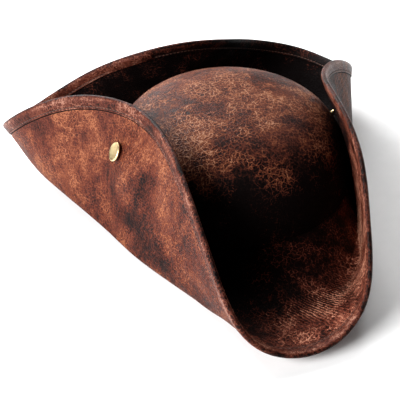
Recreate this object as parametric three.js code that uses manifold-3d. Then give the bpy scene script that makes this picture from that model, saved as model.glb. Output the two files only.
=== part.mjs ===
// A leather tricorn hat: a round-topped crown, a wide brim turned up in three flaps,
// a strip that binds the brim's rim, and a brass stud that holds each side flap to the crown.
// Millimetres, +Z up. The hat stands on the folds of its brim, and its front corner points to -Y.
// The wearer's right side, with the flap that faces a viewer at the front left, is -X.
import * as THREE from 'three';
import { mergeVertices } from 'three/addons/utils/BufferGeometryUtils.js';
import Module from 'manifold-3d';

// Crown: its outer plan at the seam with the brim, its height above that seam, and its roundness
const crownHalfWidth = 92.5;
const crownHalfLength = 94;
const crownHeight = 71;
const crownFullness = 2.7;
const crownWall = 1.8;
const crownTuck = 4;

// Brim: how far it would reach from the crown if it lay flat, and how high its flaps stand
const brimReach = 108;
const brimThickness = 1.6;
const flapHeight = 96;
const seamHeight = 26;
const foldTightness = 3.5;

// Strip that is folded over the rim
const bindingWidth = 9;
const bindingThickness = 1;

// Studs: a dished cap outside the flap, a shank, and a washer inside the crown
const studDiameter = 15;
const studCapHeight = 1.8;
const studDish = 0.5;
const shankDiameter = 4;
const washerDiameter = 10;
const washerThickness = 1;
const studBearing = 89;
const studHeight = 65;

// Clearances: between pieces that are fitted, and between a flap and the crown that it leans on
const pieceGap = 0.3;
const flapGap = 0.7;
const flapSoftness = 5;

// How finely the leather is divided
const brimColumns = 96;
const brimBands = 11;
const crownColumns = 52;
const crownBands = 9;
const studSides = 20;

// Leather and brass
const leather = { color: 0x6f4131, roughness: 0.62, metalness: 0 };
const darkLeather = { color: 0x4a2a20, roughness: 0.5, metalness: 0 };
const brass = { color: 0xd9c48a, roughness: 0.28, metalness: 1 };

// The brim's shape, a row for every 15 degrees from the front round by -X.
// fold: the line that the brim is bent along; edge: its rim.
// turn is in degrees round the crown, out is a share of brimReach beyond the crown's wall,
// and rise is a share of flapHeight above the surface that the hat stands on.
const brimRows = [
  //  fold: turn, out, rise     edge: turn, out, rise
  [0, 0.43, 0.03, 1, 0.92, 0.03],
  [5, 0.46, -0.05, 2, 0.92, 0.18],
  [3, 0.23, -0.15, -6, 0.60, 0.68],
  [8, 0.14, -0.12, -12, 0.23, 0.93],
  [8, 0.13, -0.10, -7, -0.13, 1.08],
  [6, 0.12, -0.11, 19, -0.21, 1.06],
  [3, 0.19, -0.09, 24, 0.21, 0.99],
  [2, 0.36, -0.05, 11, 0.65, 0.76],
  [2, 0.68, -0.01, 3, 0.97, 0.37],
  [2, 0.81, 0.00, 5, 1.03, 0.20],
  [2, 0.74, -0.06, 4, 0.81, 0.45],
  [2, 0.57, -0.14, -7, 0.40, 0.76],
  [0, 0.45, -0.17, 0, 0.18, 0.90],
  [-2, 0.57, -0.14, 7, 0.40, 0.75],
  [-2, 0.73, -0.06, -4, 0.84, 0.50],
  [-3, 0.78, 0.00, -6, 1.12, 0.32],
  [-3, 0.68, -0.01, -5, 0.94, 0.29],
  [-2, 0.45, -0.05, -13, 0.58, 0.64],
  [-3, 0.22, -0.09, -23, 0.20, 0.89],
  [-6, 0.13, -0.11, -18, -0.17, 1.04],
  [-7, 0.12, -0.10, 5, -0.11, 1.14],
  [-7, 0.15, -0.12, 11, 0.21, 0.97],
  [-6, 0.30, -0.15, 10, 0.49, 0.70],
  [-2, 0.43, -0.05, 2, 0.81, 0.26],
];

const fullTurn = 2 * Math.PI;
const rowCount = brimRows.length;

// A point on the outline of the crown's plan, moved outward, at a height above the floor
function ringPoint(bearing, outward, height) {
  const x = -Math.sin(bearing) * (crownHalfWidth + outward);
  const y = -Math.cos(bearing) * (crownHalfLength + outward);
  return new THREE.Vector3(x, y, height);
}

// The control points of the fold line or of the rim, from their three columns in brimRows
function controlPoints(firstColumn) {
  return brimRows.map((row, index) => {
    const [turn, out, rise] = row.slice(firstColumn, firstColumn + 3);
    const bearing = (index / rowCount) * fullTurn + THREE.MathUtils.degToRad(turn);
    return ringPoint(bearing, out * brimReach, rise * flapHeight);
  });
}

const foldPoints = controlPoints(0);
const edgePoints = controlPoints(3);

// A smooth closed curve (uniform cubic B-spline) led by control points, at a share of its turn
function loopPoint(points, share) {
  const place = (((share % 1) + 1) % 1) * rowCount;
  const first = Math.floor(place);
  const f = place - first;
  const weights = [
    (1 - f) ** 3,
    3 * f ** 3 - 6 * f ** 2 + 4,
    -3 * f ** 3 + 3 * f ** 2 + 3 * f + 1,
    f ** 3,
  ];
  const point = new THREE.Vector3();
  weights.forEach((weight, k) => {
    point.addScaledVector(points[(first + k - 1 + rowCount) % rowCount], weight / 6);
  });
  return point;
}

// Height share of the crown's wall above the seam, as a share of its plan
function crownShrink(heightShare) {
  return (1 - heightShare ** crownFullness) ** (1 / crownFullness);
}

// How far a point stays from a surface that it would cross: it comes to rest on the surface,
// and starts to turn aside a little before it
function restOn(distance, softness) {
  if (distance <= -softness) return 0;
  if (distance >= softness) return distance;
  return (distance + softness) ** 2 / (4 * softness);
}

// Moves a point of the brim's middle out of the crown, to a clearance from the crown's outside
function clearOfCrown(point, clearance) {
  const heightShare = Math.max(0, (point.z - seamHeight) / (crownHeight + clearance));
  if (heightShare >= 1) return;
  const halfWidth = crownHalfWidth + clearance;
  const reach = Math.hypot(point.x / halfWidth, point.y / (crownHalfLength + clearance));
  const wall = crownShrink(heightShare);
  const rested = wall + restOn((reach - wall) * halfWidth, flapSoftness) / halfWidth;
  const push = Math.max(1, rested / reach);
  point.x *= push;
  point.y *= push;
}

const plainClearance = brimThickness / 2 + flapGap;
const boundClearance = plainClearance + pieceGap + bindingThickness;

// Clearance from the crown along a rib: none is kept before the fold, where the leather still
// hangs from the seam, and the rim's binding adds to it near the rim
function ribClearance(reach) {
  const turnedUp = THREE.MathUtils.smoothstep(reach, 0.3, 0.5);
  const bound = THREE.MathUtils.smoothstep(reach, 0.7, 0.85);
  const kept = THREE.MathUtils.lerp(plainClearance, boundClearance, bound);
  return THREE.MathUtils.lerp(-crownHalfWidth / 2, kept, turnedUp);
}

// A point on the middle of the brim's leather: share is the turn round it, reach runs from the
// crown at 0 to the rim at 1 along an arc that leans on the fold's control point
function brimPoint(share, reach) {
  const seam = ringPoint(share * fullTurn, pieceGap + brimThickness / 2, seamHeight);
  const weights = [(1 - reach) ** 2, 2 * foldTightness * reach * (1 - reach), reach ** 2];
  const total = weights[0] + weights[1] + weights[2];
  const point = seam.multiplyScalar(weights[0] / total);
  point.addScaledVector(loopPoint(foldPoints, share), weights[1] / total);
  point.addScaledVector(loopPoint(edgePoints, share), weights[2] / total);
  clearOfCrown(point, ribClearance(reach));
  point.z = Math.max(point.z, brimThickness / 2);
  return point;
}

// The leather's upward direction at a point of the brim
function brimNormal(share, reach) {
  const step = 0.002;
  const low = Math.max(0, reach - step);
  const high = Math.min(1, reach + step);
  const along = brimPoint(share + step, reach).sub(brimPoint(share - step, reach));
  const outward = brimPoint(share, high).sub(brimPoint(share, low));
  return along.cross(outward).normalize();
}

// Reach at which a rib of the brim passes under the inner border of the binding
function bindingReach(share) {
  const steps = 60;
  let left = bindingWidth;
  let last = brimPoint(share, 1);
  for (let k = steps - 1; k >= 0; k -= 1) {
    const next = brimPoint(share, k / steps);
    const length = next.distanceTo(last);
    if (length >= left) return (k + 1 - left / length) / steps;
    left -= length;
    last = next;
  }
  return 0;
}

// The brim's leather as columns of stations, each with its point and its upward direction.
// The last band of each column lies under the binding.
const brimColumnsList = Array.from({ length: brimColumns }, (unused, column) => {
  const share = column / brimColumns;
  const lastPlain = bindingReach(share);
  const reaches = Array.from({ length: brimBands + 1 }, (none, k) => (lastPlain * k) / brimBands);
  reaches.push(1);
  return reaches.map((reach) => ({
    point: brimPoint(share, reach),
    normal: brimNormal(share, reach),
  }));
});

// A closed body from closed sections that all have as many points; the sections make a loop.
// Each four-sided face is split on one diagonal or on the other, so that two bodies with
// parallel faces can split them alike.
function loopGeometry(sections, otherDiagonal = false) {
  const size = sections[0].length;
  const positions = sections.flat().flatMap((point) => [point.x, point.y, point.z]);
  const index = [];
  sections.forEach((section, i) => {
    const here = i * size;
    const next = ((i + 1) % sections.length) * size;
    for (let k = 0; k < size; k += 1) {
      const after = (k + 1) % size;
      const [nearThird, farFirst] = otherDiagonal
        ? [here + after, next + k]
        : [next + after, here + k];
      index.push(here + k, next + k, nearThird);
      index.push(farFirst, next + after, here + after);
    }
  });
  const geometry = new THREE.BufferGeometry();
  geometry.setAttribute('position', new THREE.Float32BufferAttribute(positions, 3));
  geometry.setIndex(index);
  return geometry;
}

// A station's point moved along the leather's upward direction and outward past the rim
function offsetPoint(station, up, outward = 0, direction = null) {
  const point = station.point.clone().addScaledVector(station.normal, up);
  if (direction) point.addScaledVector(direction, outward);
  return point;
}

function makeBrimGeometry() {
  const half = brimThickness / 2;
  const sections = brimColumnsList.map((stations) => {
    const above = stations.map((station) => offsetPoint(station, half));
    const below = stations.map((station) => offsetPoint(station, -half));
    return [...above, ...below.reverse()];
  });
  return loopGeometry(sections);
}

function makeBindingGeometry() {
  const inside = brimThickness / 2 + pieceGap;
  const outside = inside + bindingThickness;
  const tip = pieceGap + bindingThickness;
  const sections = brimColumnsList.map((stations) => {
    const [border, rim] = stations.slice(-2);
    const direction = rim.point.clone().sub(border.point);
    direction.addScaledVector(rim.normal, -direction.dot(rim.normal)).normalize();
    return [
      offsetPoint(border, outside),
      offsetPoint(rim, outside),
      offsetPoint(rim, brimThickness / 2, tip, direction),
      offsetPoint(rim, -brimThickness / 2, tip, direction),
      offsetPoint(rim, -outside),
      offsetPoint(border, -outside),
      offsetPoint(border, -inside),
      offsetPoint(rim, -inside, pieceGap, direction),
      offsetPoint(rim, inside, pieceGap, direction),
      offsetPoint(border, inside),
    ];
  });
  return loopGeometry(sections, true);
}

// One face of the crown, inset from its outside, as rings from the hem up to just below the top
function crownRings(inset) {
  const rings = [];
  for (let band = -1; band < crownBands; band += 1) {
    const angle = (Math.max(band, 0) / crownBands) * (Math.PI / 2);
    const shrink = Math.cos(angle) ** (2 / crownFullness);
    const rise = (crownHeight - inset) * Math.sin(angle) ** (2 / crownFullness);
    const height = band < 0 ? seamHeight - crownTuck : seamHeight + rise;
    const ring = Array.from({ length: crownColumns }, (unused, column) => {
      const bearing = (column / crownColumns) * fullTurn;
      const x = -Math.sin(bearing) * (crownHalfWidth - inset) * shrink;
      const y = -Math.cos(bearing) * (crownHalfLength - inset) * shrink;
      return new THREE.Vector3(x, y, height);
    });
    rings.push(ring);
  }
  return rings;
}

function makeCrownGeometry() {
  const outer = crownRings(0);
  const inner = crownRings(crownWall);
  const rings = [...inner.reverse(), ...outer];
  const positions = rings.flat().flatMap((point) => [point.x, point.y, point.z]);
  const index = [];
  for (let ring = 0; ring < rings.length - 1; ring += 1) {
    for (let column = 0; column < crownColumns; column += 1) {
      const here = ring * crownColumns + column;
      const beside = ring * crownColumns + ((column + 1) % crownColumns);
      index.push(here, beside + crownColumns, beside);
      index.push(here, here + crownColumns, beside + crownColumns);
    }
  }
  const innerTop = positions.length / 3;
  const outerTop = innerTop + 1;
  positions.push(0, 0, seamHeight + crownHeight - crownWall);
  positions.push(0, 0, seamHeight + crownHeight);
  const lastRing = (rings.length - 1) * crownColumns;
  for (let column = 0; column < crownColumns; column += 1) {
    const beside = (column + 1) % crownColumns;
    index.push(innerTop, column, beside);
    index.push(outerTop, lastRing + beside, lastRing + column);
  }
  const geometry = new THREE.BufferGeometry();
  geometry.setAttribute('position', new THREE.Float32BufferAttribute(positions, 3));
  geometry.setIndex(index);
  return geometry;
}

// Where a stud goes through the crown: side is -1 at -X, the wearer's right, and 1 at +X
function studSeat(side) {
  const bearing = THREE.MathUtils.degToRad(-side * studBearing);
  const heightShare = (studHeight - seamHeight) / crownHeight;
  const shrink = crownShrink(heightShare);
  const point = ringPoint(bearing, 0, studHeight);
  point.x *= shrink;
  point.y *= shrink;
  const power = crownFullness - 1;
  const flat = shrink ** power;
  const axis = new THREE.Vector3(
    (-Math.sin(bearing) * flat) / crownHalfWidth,
    (-Math.cos(bearing) * flat) / crownHalfLength,
    heightShare ** power / crownHeight,
  ).normalize();
  return { point, axis };
}

// The stud turned round its axis, between the outside of the flap and the inside of the crown,
// which are distances along that axis from the crown's outside
function makeStudGeometry(flapOutside, crownInside) {
  const capSeat = flapOutside + pieceGap;
  const washerSeat = crownInside - pieceGap;
  const capRadius = studDiameter / 2;
  const shankRadius = shankDiameter / 2;
  const washerRadius = washerDiameter / 2;
  const lip = studCapHeight / 3;
  const profile = [
    [0, washerSeat - washerThickness],
    [washerRadius, washerSeat - washerThickness],
    [washerRadius, washerSeat],
    [shankRadius, washerSeat],
    [shankRadius, capSeat],
    [capRadius - lip, capSeat],
    [capRadius, capSeat + lip],
    [capRadius - lip / 2, capSeat + studCapHeight - lip / 3],
    [capRadius - lip * 1.5, capSeat + studCapHeight],
    [capRadius - lip * 2.5, capSeat + studCapHeight - studDish],
    [0, capSeat + studCapHeight - studDish / 2],
  ].map(([radius, height]) => new THREE.Vector2(radius, height));
  return new THREE.LatheGeometry(profile, studSides);
}

// Turns and moves a geometry that was made round +Y onto the stud's seat
function placeOnSeat(geometry, seat) {
  const turn = new THREE.Quaternion().setFromUnitVectors(new THREE.Vector3(0, 1, 0), seat.axis);
  geometry.applyQuaternion(turn);
  geometry.translate(seat.point.x, seat.point.y, seat.point.z);
  return geometry;
}

const wasm = await Module();
wasm.setup();

function toSolid(geometry) {
  const bare = geometry.clone();
  bare.deleteAttribute('normal');
  bare.deleteAttribute('uv');
  const merged = mergeVertices(bare, 1e-4);
  return new wasm.Manifold(new wasm.Mesh({
    numProp: 3,
    vertProperties: new Float32Array(merged.attributes.position.array),
    triVerts: new Uint32Array(merged.index.array),
  }));
}

function toGeometry(solid) {
  const mesh = solid.getMesh();
  const geometry = new THREE.BufferGeometry();
  geometry.setAttribute('position', new THREE.BufferAttribute(mesh.vertProperties, 3));
  geometry.setIndex(new THREE.BufferAttribute(mesh.triVerts, 1));
  return geometry;
}

// A round bar along a stud's axis, as long as the crown is wide from its middle to its wall
function barOnSeat(seat, radius) {
  const bar = new THREE.CylinderGeometry(radius, radius, crownHalfWidth, studSides);
  return toSolid(placeOnSeat(bar, seat));
}

// The nearest and the farthest distance along a stud's axis of the leather within a radius of it
function leatherSpan(solid, seat, radius) {
  const { vertProperties } = solid.intersect(barOnSeat(seat, radius)).getMesh();
  const distances = [];
  for (let k = 0; k < vertProperties.length; k += 3) {
    const point = new THREE.Vector3().fromArray(vertProperties, k);
    distances.push(point.sub(seat.point).dot(seat.axis));
  }
  return [Math.min(...distances), Math.max(...distances)];
}

const seats = { stud_right: studSeat(-1), stud_left: studSeat(1) };
const crownSolid = toSolid(makeCrownGeometry());
const brimSolid = toSolid(makeBrimGeometry());

// Cuts the hole that each stud's shank passes through, with room round the shank
function withStudHoles(solid) {
  const radius = shankDiameter / 2 + pieceGap;
  const holes = Object.values(seats).map((seat) => barOnSeat(seat, radius));
  return toGeometry(holes.reduce((cut, hole) => cut.subtract(hole), solid));
}

// A stud in its seat, whose cap and washer lie against the leather all the way round
function makeSeatedStud(seat) {
  const flapOutside = leatherSpan(brimSolid, seat, studDiameter / 2 + pieceGap)[1];
  const crownInside = leatherSpan(crownSolid, seat, washerDiameter / 2 + pieceGap)[0];
  return placeOnSeat(makeStudGeometry(flapOutside, crownInside), seat);
}

function makeMesh(name, geometry, finish) {
  geometry.computeVertexNormals();
  const material = new THREE.MeshStandardMaterial({ ...finish, flatShading: false });
  const mesh = new THREE.Mesh(geometry, material);
  mesh.name = name;
  return mesh;
}

const hat = new THREE.Group();
hat.add(makeMesh('crown', withStudHoles(crownSolid), leather));
hat.add(makeMesh('brim', withStudHoles(brimSolid), leather));
hat.add(makeMesh('edge_binding', makeBindingGeometry(), darkLeather));
Object.entries(seats).forEach(([name, seat]) => {
  hat.add(makeMesh(name, makeSeatedStud(seat), brass));
});

// The hat's middle, seen from above, goes to the origin
const reachBox = new THREE.Box3().setFromObject(hat);
const middle = reachBox.getCenter(new THREE.Vector3());
hat.position.set(-middle.x, -middle.y, 0);

export default hat;
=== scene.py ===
"""A leather tricorn hat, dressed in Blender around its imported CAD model.

The crown, the brim and its binding come from the same named sizes and the same short table
as the CAD source, and are divided finely enough to look like leather. Sizes are in
millimetres until a mesh is written, which is in metres.
"""

import logging
import math
from collections.abc import Sequence
from dataclasses import dataclass, field
from enum import Enum
from typing import Any

import bmesh
import bpy
import numpy as np
from mathutils import Matrix, Vector


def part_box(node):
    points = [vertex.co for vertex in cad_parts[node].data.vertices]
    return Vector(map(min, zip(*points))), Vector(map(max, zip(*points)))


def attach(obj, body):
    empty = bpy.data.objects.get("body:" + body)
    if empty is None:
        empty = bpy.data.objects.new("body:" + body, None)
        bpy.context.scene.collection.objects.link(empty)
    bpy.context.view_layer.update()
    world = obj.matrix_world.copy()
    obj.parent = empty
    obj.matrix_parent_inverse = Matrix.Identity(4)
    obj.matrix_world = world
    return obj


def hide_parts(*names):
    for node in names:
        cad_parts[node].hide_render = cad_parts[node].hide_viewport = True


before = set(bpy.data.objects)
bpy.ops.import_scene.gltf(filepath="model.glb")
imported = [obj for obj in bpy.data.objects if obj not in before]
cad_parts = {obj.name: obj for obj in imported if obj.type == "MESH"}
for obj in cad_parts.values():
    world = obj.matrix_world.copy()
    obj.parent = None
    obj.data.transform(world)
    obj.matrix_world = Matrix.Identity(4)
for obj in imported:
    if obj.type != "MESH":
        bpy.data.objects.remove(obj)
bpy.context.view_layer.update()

LOG = logging.getLogger("tricorn_hat")
Piece = bpy.types.Object
Material = bpy.types.Material
Socket = bpy.types.NodeSocket
MM = 0.001
FULL_TURN = 2 * math.pi
# How far Blender's wave texture turns in one unit, at a scale of 1: along an axis and
# along its diagonal.
WAVE_RATE = 20.0
DIAGONAL_RATE = 10.0

# The brim's shape, a row for every 15 degrees from the front round by -X. Turn is in degrees
# round the crown, out is a share of the brim's reach beyond the crown, and rise is a share of
# the flaps' height above the floor.
BRIM_ROWS = (
    # fold: turn, out, rise     edge: turn, out, rise
    (0, 0.43, 0.03, 1, 0.92, 0.03),
    (5, 0.46, -0.05, 2, 0.92, 0.18),
    (3, 0.23, -0.15, -6, 0.60, 0.68),
    (8, 0.14, -0.12, -12, 0.23, 0.93),
    (8, 0.13, -0.10, -7, -0.13, 1.08),
    (6, 0.12, -0.11, 19, -0.21, 1.06),
    (3, 0.19, -0.09, 24, 0.21, 0.99),
    (2, 0.36, -0.05, 11, 0.65, 0.76),
    (2, 0.68, -0.01, 3, 0.97, 0.37),
    (2, 0.81, 0.00, 5, 1.03, 0.20),
    (2, 0.74, -0.06, 4, 0.81, 0.45),
    (2, 0.57, -0.14, -7, 0.40, 0.76),
    (0, 0.45, -0.17, 0, 0.18, 0.90),
    (-2, 0.57, -0.14, 7, 0.40, 0.75),
    (-2, 0.73, -0.06, -4, 0.84, 0.50),
    (-3, 0.78, 0.00, -6, 1.12, 0.32),
    (-3, 0.68, -0.01, -5, 0.94, 0.29),
    (-2, 0.45, -0.05, -13, 0.58, 0.64),
    (-3, 0.22, -0.09, -23, 0.20, 0.89),
    (-6, 0.13, -0.11, -18, -0.17, 1.04),
    (-7, 0.12, -0.10, 5, -0.11, 1.14),
    (-7, 0.15, -0.12, 11, 0.21, 0.97),
    (-6, 0.30, -0.15, 10, 0.49, 0.70),
    (-2, 0.43, -0.05, 2, 0.81, 0.26),
)

# Patches that make the brim's leather paler and smoother, or darker and more matt, on its upper
# face and on its underside. A few stand for rubbing, some only darken or pale small spots, and
# many are painted light and shade: painted shade deep in the brim by the crown, inside the back
# flap, in the front corner beside the left flap and on and beside the lobe, and painted light on
# the left flap's top and on the right flap's inside. Each row is a soft round patch: its bearing
# in degrees, its half-width, its reach from the crown to the rim, its half-width that way, and
# its amount.
INNER_WEAR_AND_PAINTED_LIGHT = (
    # painted shade deep in the brim, all round near the crown
    (0, 400, 0.0, 0.60, -0.60),
    # painted shade inside the back flap
    (185, 75, 0.66, 0.55, -0.75),
    # painted shadow of the left flap in the front corner
    (32, 17, 0.72, 0.50, -0.60),
    # a little painted light at the front tip
    (2, 10, 0.85, 0.20, 0.06),
    # the front corner's right half paler: rubbing and painted light together
    (344, 17, 0.58, 0.32, 0.26),
    (342, 12, 0.25, 0.18, 0.34),
    # painted light on the right flap's inside
    (318, 11, 0.60, 0.36, 0.24),
    # painted shade on the right flap's inside, near its rim
    (292, 16, 0.95, 0.40, -0.55),
    (354, 8, 0.90, 0.10, 0.02),
    # painted light on the right flap's inside, near its rim
    (325, 18, 0.85, 0.35, 0.16),
    (345, 4, 0.84, 0.06, -0.26),
    (351, 3, 0.70, 0.06, -0.20),
    # painted light on the right flap's inside face
    (314, 13, 0.34, 0.42, 0.70),
    (322, 3, 0.80, 0.20, -0.30),
    # painted shade inside the back brim, beside the lobe
    (238, 18, 0.85, 0.45, -0.60),
)
OUTER_WEAR_AND_PAINTED_LIGHT = (
    # painted light on the left flap's top
    (85, 45, 1.0, 0.14, 0.14),
    (68, 9, 0.78, 0.09, -0.26),
    (62, 5, 0.90, 0.05, -0.16),
    (47, 7, 0.78, 0.10, -0.24),
    (33, 8, 0.70, 0.09, -0.12),
    (96, 10, 0.82, 0.14, 0.12),
    (54, 4, 0.96, 0.05, 0.12),
    # painted shade on the lobe's outside
    (268, 26, 0.93, 0.20, -0.06),
)

# Where the brim's leather is creased, on its upper face and on its underside, in such rows. Their
# colour is painted darker, as shade, in the hollows and paler, as highlights, on the crests.
INNER_CREASES = ((349, 13, 0.60, 0.24, 1.0),)
OUTER_CREASES = ((263, 9, 0.97, 0.13, 0.8),)

# How far the creases turn from the way that leads from the crown to the rim.
CREASE_SLANT = math.radians(12)

# Half of the binding's cross-section, from its inner border to the tip of its roll: how far in
# from the rim, as a share of the binding's width, how high over the brim's face, as a share of
# the binding's thickness, and how much painted light or shade it takes: painted shade along its
# border, in the stitch groove and under its roll, and a painted highlight along its crest. The
# dip is the groove that the stitches lie in.
BINDING_SECTION = (
    # inset, height, painted light and shade
    # painted shade along the border
    (1.09, 0.02, -0.70),
    (1.02, 0.05, -0.70),
    (1.00, 0.34, -0.30),
    (0.975, 0.56, 0.10),
    (0.92, 0.66, 0.10),
    (0.875, 0.56, 0.00),
    # painted shade in the stitch groove
    (0.845, 0.26, -0.35),
    (0.805, 0.26, -0.35),
    (0.775, 0.56, 0.00),
    (0.72, 0.76, 0.06),
    (0.61, 0.86, 0.00),
    (0.44, 0.92, 0.00),
    # a painted highlight along the crest
    (0.29, 1.00, 0.10),
    (0.155, 1.06, 0.20),
    (0.045, 0.96, 0.20),
    (-0.045, 0.64, 0.00),
    # painted shade under the roll
    (-0.11, 0.24, -0.20),
    (-0.15, -0.22, -0.25),
    (-0.16, -0.64, -0.25),
)


def linear(srgb: str) -> tuple[float, float, float, float]:
    """Turns a hex sRGB colour into the linear colour that a shader takes.

    Args:
        srgb: The colour as six hex digits after a hash sign.

    Returns:
        Linear red, green and blue, and an alpha of 1.
    """
    shares = [int(srgb[k : k + 2], 16) / 255 for k in (1, 3, 5)]
    red, green, blue = (
        share / 12.92 if share <= 0.04045 else ((share + 0.055) / 1.055) ** 2.4
        for share in shares
    )
    return red, green, blue, 1.0


def smooth_step(value: np.ndarray, low: float, high: float) -> np.ndarray:
    """Runs smoothly from 0 at low to 1 at high.

    Args:
        value: The values to place between low and high.
        low: Where the step starts.
        high: Where it ends.

    Returns:
        The smoothed shares.
    """
    share = np.clip((value - low) / (high - low), 0, 1)
    return share * share * (3 - 2 * share)


def unit(vectors: np.ndarray) -> np.ndarray:
    """Gives each vector along the last axis a length of 1."""
    return vectors / np.linalg.norm(vectors, axis=-1, keepdims=True)


def tripled(values: np.ndarray) -> np.ndarray:
    """Repeats each value three times, as a vector attribute needs."""
    return np.repeat(values[..., None], 3, axis=-1)


@dataclass(frozen=True)
class HatForm:
    """The hat's shape as functions of its sizes, in millimetres, round the crown's axis."""

    crown_half_width: float = 92.5
    crown_half_length: float = 94.0
    crown_height: float = 71.0
    crown_fullness: float = 2.7
    brim_reach: float = 108.0
    brim_thickness: float = 1.6
    flap_height: float = 96.0
    seam_height: float = 26.0
    fold_tightness: float = 3.5
    flap_softness: float = 5.0
    rim_clearance: float = 2.8
    plain_clearance: float = 1.5
    stud_bearing: float = 89.0
    stud_height: float = 65.0
    rib_stretch: float = 1.5
    # Over which shares of the way to the rim the brim comes to rest on the crown, and the
    # binding's clearance takes over
    rest_zone: tuple[float, float] = (0.3, 0.5)
    binding_zone: tuple[float, float] = (0.7, 0.85)

    def ring_point(
        self, bearing: np.ndarray, outward: np.ndarray, height: np.ndarray
    ) -> np.ndarray:
        """Places points on the outline of the crown's plan.

        Args:
            bearing: Angles from the front round by -X, in radians.
            outward: Distances out from the crown's wall.
            height: Heights above the floor.

        Returns:
            The points, with x, y and z along the last axis.
        """
        bearing, outward, height = np.broadcast_arrays(bearing, outward, height)
        x = -np.sin(bearing) * (self.crown_half_width + outward)
        y = -np.cos(bearing) * (self.crown_half_length + outward)
        return np.stack([x, y, height], axis=-1)

    def control_points(self, first: int) -> np.ndarray:
        """Places the points that lead the fold line or the rim.

        Args:
            first: The first of its three columns in BRIM_ROWS.

        Returns:
            One point for each row.
        """
        turn, out, rise = np.array(BRIM_ROWS, float)[:, first : first + 3].T
        bearing = np.arange(len(BRIM_ROWS)) / len(BRIM_ROWS) * FULL_TURN
        return self.ring_point(
            bearing + np.radians(turn), out * self.brim_reach, rise * self.flap_height
        )

    def loop_point(self, points: np.ndarray, share: np.ndarray) -> np.ndarray:
        """Follows the smooth closed curve that control points lead.

        Args:
            points: The control points.
            share: Shares of a turn.

        Returns:
            Points of a uniform cubic B-spline.
        """
        count = len(points)
        place = np.mod(share, 1) * count
        first = np.floor(place).astype(int)
        f = place - first
        weights = (
            (1 - f) ** 3,
            3 * f**3 - 6 * f**2 + 4,
            -3 * f**3 + 3 * f**2 + 3 * f + 1,
            f**3,
        )
        return sum(
            weight[..., None] / 6 * points[(first + k - 1) % count]
            for k, weight in enumerate(weights)
        )

    def clear_of_crown(self, points: np.ndarray, clearance: np.ndarray) -> np.ndarray:
        """Moves points of the brim's middle out of the crown, so that flaps rest on it.

        Args:
            points: The points as the curves give them.
            clearance: How far each stays from the crown's outside.

        Returns:
            The points after they have come to rest.
        """
        x, y, z = np.moveaxis(points, -1, 0)
        rise = np.maximum(0, (z - self.seam_height) / (self.crown_height + clearance))
        half_width = self.crown_half_width + clearance
        reach = np.hypot(x / half_width, y / (self.crown_half_length + clearance))
        fullness = self.crown_fullness
        wall = np.maximum(0, 1 - np.minimum(rise, 1) ** fullness) ** (1 / fullness)
        distance = (reach - wall) * half_width
        soft = self.flap_softness
        rested = np.where(
            distance >= soft, distance, np.maximum(0, distance + soft) ** 2 / (4 * soft)
        )
        push = np.maximum(1, (wall + rested / half_width) / np.maximum(reach, 1e-6))
        push = np.where(rise >= 1, 1, push)
        return np.stack([x * push, y * push, z], axis=-1)

    def brim_point(self, share: np.ndarray, reach: np.ndarray) -> np.ndarray:
        """Places points on the middle of the brim's leather.

        Args:
            share: Shares of the turn round the crown, from the front by -X.
            reach: Shares of the way from the crown at 0 to the rim at 1.

        Returns:
            The points.
        """
        share, reach = np.broadcast_arrays(share, reach)
        seam = self.ring_point(share * FULL_TURN, 0, self.seam_height)
        weights = np.stack(
            [(1 - reach) ** 2, 2 * self.fold_tightness * reach * (1 - reach), reach**2]
        )
        weights = (weights / weights.sum(axis=0))[..., None]
        fold = self.loop_point(self.control_points(0), share)
        edge = self.loop_point(self.control_points(3), share)
        points = weights[0] * seam + weights[1] * fold + weights[2] * edge
        bound = smooth_step(reach, *self.binding_zone)
        kept = self.plain_clearance + (self.rim_clearance - self.plain_clearance) * bound
        free = -self.crown_half_width / 2
        clearance = free + (kept - free) * smooth_step(reach, *self.rest_zone)
        points = self.clear_of_crown(points, clearance)
        points[..., 2] = np.maximum(points[..., 2], self.brim_thickness / 2)
        return points

    def brim_frame(
        self, share: np.ndarray, reach: np.ndarray
    ) -> tuple[np.ndarray, np.ndarray, np.ndarray]:
        """Finds the directions of the leather at points of the brim.

        Args:
            share: Shares of the turn round the crown.
            reach: Shares of the way from the crown to the rim.

        Returns:
            Unit vectors along the rim, towards the rim and up out of the leather.
        """
        step = 0.002
        along = self.brim_point(share + step, reach) - self.brim_point(share - step, reach)
        low, high = np.maximum(0, reach - step), np.minimum(1, reach + step)
        outward = self.brim_point(share, high) - self.brim_point(share, low)
        normal = unit(np.cross(along, outward))
        return unit(along), unit(outward), normal

    def reach_from_rim(self, share: np.ndarray, inset: np.ndarray) -> np.ndarray:
        """Finds where a rib of the brim is a distance in from the rim.

        Args:
            share: One share of the turn for each rib.
            inset: Distances along the leather, growing, the same for all ribs.

        Returns:
            A row of reaches for each rib.
        """
        samples = np.linspace(1, 0.6, 161)
        points = self.brim_point(share[:, None], samples[None, :])
        steps = np.linalg.norm(np.diff(points, axis=1), axis=-1)
        lengths = np.concatenate([np.zeros((len(share), 1)), np.cumsum(steps, axis=1)], axis=1)
        return np.stack([np.interp(inset, row, samples) for row in lengths])

    def rib_place(self, share: np.ndarray, across: np.ndarray) -> np.ndarray:
        """Gives patterns coordinates that follow the leather and not its folds.

        Args:
            share: Shares of the turn, one for each rib.
            across: Distances across the leather.

        Returns:
            Vectors in metres, a row of them for each rib.
        """
        turn = share[:, None] * FULL_TURN
        length = self.brim_reach * self.rib_stretch
        parts = np.broadcast_arrays(np.cos(turn) * length, np.sin(turn) * length, across)
        return np.stack(parts, axis=-1) * MM

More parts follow.
